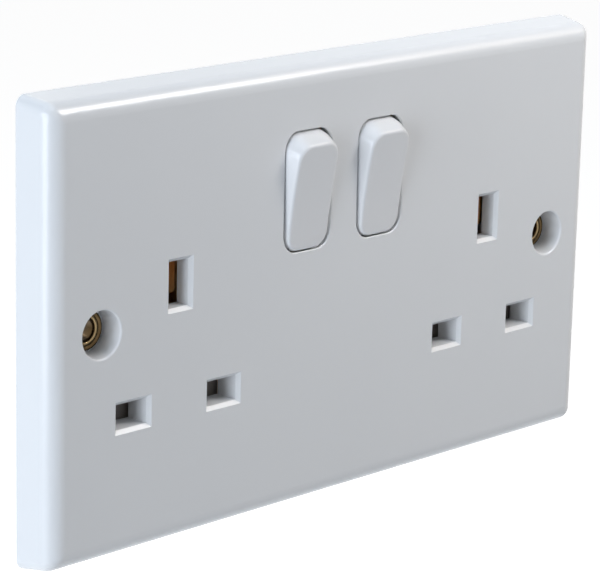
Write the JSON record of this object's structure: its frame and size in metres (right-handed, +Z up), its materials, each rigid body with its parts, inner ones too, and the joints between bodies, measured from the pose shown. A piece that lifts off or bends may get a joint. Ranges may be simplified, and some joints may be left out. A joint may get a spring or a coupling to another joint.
{
  "type": "twin switched wall socket",
  "caption": "White twin wall socket plate with two rocker switches, shuttered three-pin outlets, brass contacts and a rear housing with clamp terminals.",
  "frame": {"origin": "middle of the plate's rear rim plane, halfway between the two fixing holes", "axes": "+X to the right seen from the front, +Y into the wall, +Z up"},
  "size_m": [0.146, 0.0274, 0.086],
  "materials": {
    "white_plastic": "gloss, moulded urea",
    "housing_plastic": "satin, moulded",
    "shutter_plastic": "matte",
    "plunger_plastic": "matte",
    "sheet_brass": "rolled sheet, slightly dull",
    "screw_brass": "turned",
    "silver_contact": "silver rivet",
    "spring_steel": "drawn wire",
    "screw_steel": "zinc plated"
  },
  "bodies": {
    "root": {"earth_contact_left": "sheet_brass", "earth_contact_right": "sheet_brass", "earth_strap": "sheet_brass", "faceplate": "white_plastic", "fixed_tip_left": "silver_contact", "fixed_tip_right": "silver_contact", "fixing_eyelet_left": "sheet_brass", "fixing_eyelet_right": "sheet_brass", "housing_screws": "screw_steel", "live_busbar": "sheet_brass", "live_contact_left": "sheet_brass", "live_contact_right": "sheet_brass", "live_link_left": "sheet_brass", "live_link_right": "sheet_brass", "neutral_busbar": "sheet_brass", "neutral_contact_left": "sheet_brass", "neutral_contact_right": "sheet_brass", "rear_housing": "housing_plastic", "shutter_spring_left": "spring_steel", "shutter_spring_right": "spring_steel", "terminal_earth_left": "sheet_brass", "terminal_earth_right": "sheet_brass", "terminal_live": "sheet_brass", "terminal_neutral": "sheet_brass"},
    "rocker_left": {"rocker_left": "white_plastic", "plunger_spring_left": "spring_steel"},
    "plunger_left": {"plunger_left": "plunger_plastic"},
    "seesaw_left": {"moving_contact_left": "sheet_brass", "moving_tip_left": "silver_contact"},
    "shutter_left": {"shutter_left": "shutter_plastic"},
    "rocker_right": {"rocker_right": "white_plastic", "plunger_spring_right": "spring_steel"},
    "plunger_right": {"plunger_right": "plunger_plastic"},
    "seesaw_right": {"moving_contact_right": "sheet_brass", "moving_tip_right": "silver_contact"},
    "shutter_right": {"shutter_right": "shutter_plastic"},
    "clamp_earth_left": {"terminal_screw_earth_left": "screw_brass"},
    "clamp_neutral": {"terminal_screw_neutral": "screw_brass"},
    "clamp_live": {"terminal_screw_live": "screw_brass"},
    "clamp_earth_right": {"terminal_screw_earth_right": "screw_brass"}
  },
  "joints": [
    {"name": "rocker_left_tip", "type": "hinge", "parent": "root", "child": "rocker_left", "pos_m": [-0.0097, -0.0038, 0.0188], "axis": [1, 0, 0], "range_deg": [-22, 0]},
    {"name": "plunger_left_slide", "type": "slide", "parent": "rocker_left", "child": "plunger_left", "axis": [0, -0.9816, -0.1908], "range_m": [0, 0.0012], "stiffness_N_per_m": 700, "springref_m": -0.002, "deforming": ["plunger_spring_left"]},
    {"name": "seesaw_left_tip", "type": "hinge", "parent": "root", "child": "seesaw_left", "pos_m": [-0.0097, 0.01115, 0.0188], "axis": [1, 0, 0], "range_deg": [0, 18]},
    {"name": "shutter_left_slide", "type": "slide", "parent": "root", "child": "shutter_left", "axis": [0, 0, -1], "range_m": [0, 0.0065], "stiffness_N_per_m": 120, "springref_m": -0.004, "deforming": ["shutter_spring_left"]},
    {"name": "rocker_right_tip", "type": "hinge", "parent": "root", "child": "rocker_right", "pos_m": [0.0097, -0.0038, 0.0188], "axis": [1, 0, 0], "range_deg": [-22, 0]},
    {"name": "plunger_right_slide", "type": "slide", "parent": "rocker_right", "child": "plunger_right", "axis": [0, -0.9816, -0.1908], "range_m": [0, 0.0012], "stiffness_N_per_m": 700, "springref_m": -0.002, "deforming": ["plunger_spring_right"]},
    {"name": "seesaw_right_tip", "type": "hinge", "parent": "root", "child": "seesaw_right", "pos_m": [0.0097, 0.01115, 0.0188], "axis": [1, 0, 0], "range_deg": [0, 18]},
    {"name": "shutter_right_slide", "type": "slide", "parent": "root", "child": "shutter_right", "axis": [0, 0, -1], "range_m": [0, 0.0065], "stiffness_N_per_m": 120, "springref_m": -0.004, "deforming": ["shutter_spring_right"]},
    {"name": "clamp_earth_left_run", "type": "slide", "parent": "root", "child": "clamp_earth_left", "axis": [0, -1, 0], "range_m": [0, 0.0035]},
    {"name": "clamp_neutral_run", "type": "slide", "parent": "root", "child": "clamp_neutral", "axis": [0, -1, 0], "range_m": [0, 0.0035]},
    {"name": "clamp_live_run", "type": "slide", "parent": "root", "child": "clamp_live", "axis": [0, -1, 0], "range_m": [0, 0.0035]},
    {"name": "clamp_earth_right_run", "type": "slide", "parent": "root", "child": "clamp_earth_right", "axis": [0, -1, 0], "range_m": [0, 0.0035]}
  ],
  "couplings": [
    {"joint": "seesaw_left_tip", "follows": "rocker_left_tip", "ratio": -0.81818},
    {"joint": "seesaw_right_tip", "follows": "rocker_right_tip", "ratio": -0.81818}
  ]
}
